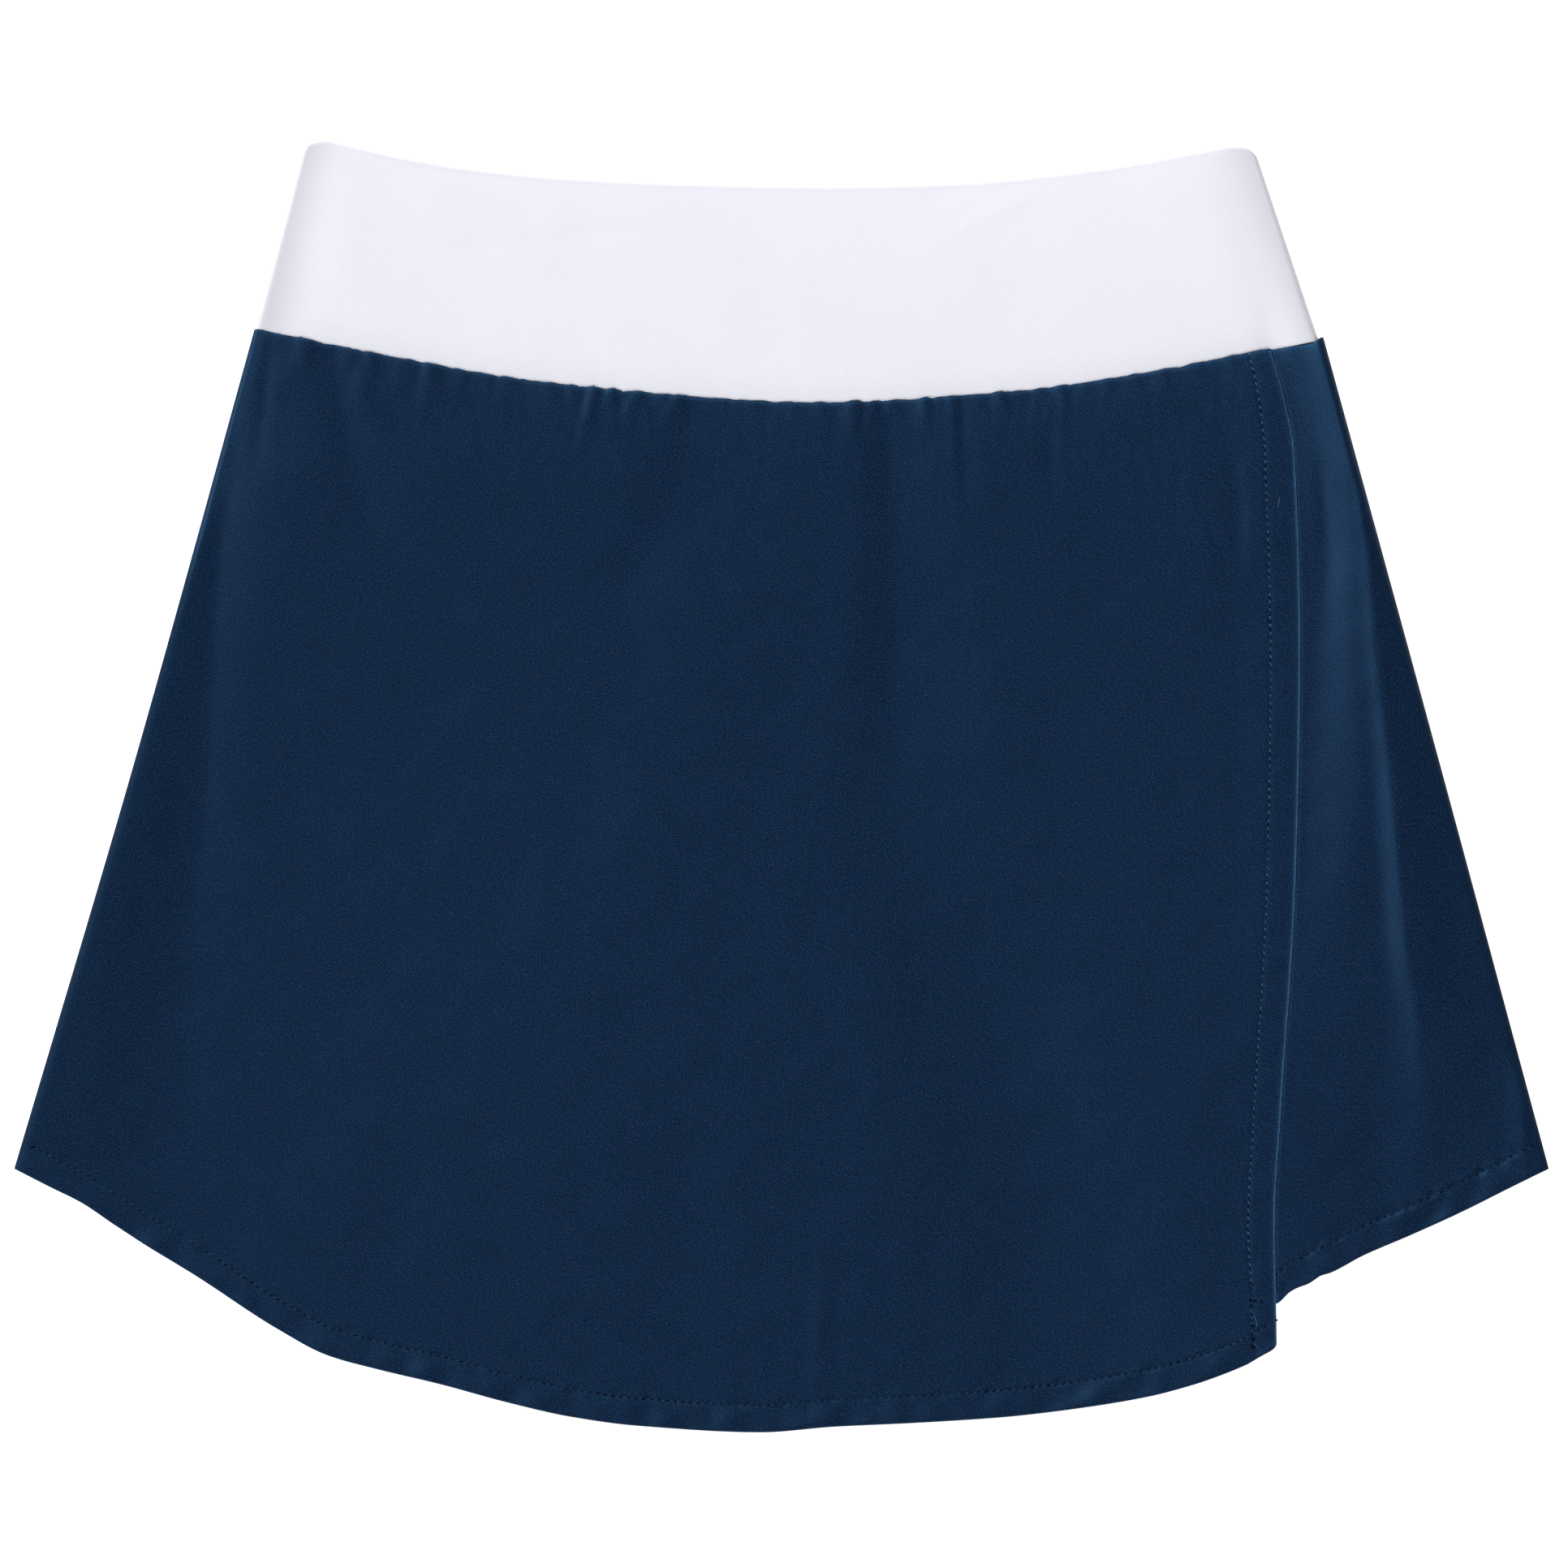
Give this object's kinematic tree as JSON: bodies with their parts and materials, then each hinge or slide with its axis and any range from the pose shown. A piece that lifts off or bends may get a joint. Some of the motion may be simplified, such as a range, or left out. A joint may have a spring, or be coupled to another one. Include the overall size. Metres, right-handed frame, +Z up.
{
  "type": "skort",
  "caption": "Wrap-front skort laid flat: wide knit waistband, gathered woven A-line skirt with a lapped front panel and curved hem over plain inner shorts.",
  "frame": {"origin": "middle of the garment's outline, on the surface that it lies on", "axes": "+X across the garment, towards the wearer's left, +Y from the hem towards the waist, +Z up out of the surface, through the wearer's front"},
  "size_m": [0.4917, 0.4138, 0.0084],
  "materials": {
    "navy_woven": "matt dark navy plain weave with a slight sheen on folds",
    "white_knit": "smooth matt white double knit with fine vertical ribs",
    "navy_knit": "smooth matt navy jersey"
  },
  "bodies": {
    "root": {"waistband_front": "white_knit", "waistband_back": "white_knit", "skirt_front": "navy_woven", "skirt_underlap": "navy_woven", "skirt_back": "navy_woven", "shorts_left": "navy_knit", "shorts_right": "navy_knit"}
  },
  "joints": []
}
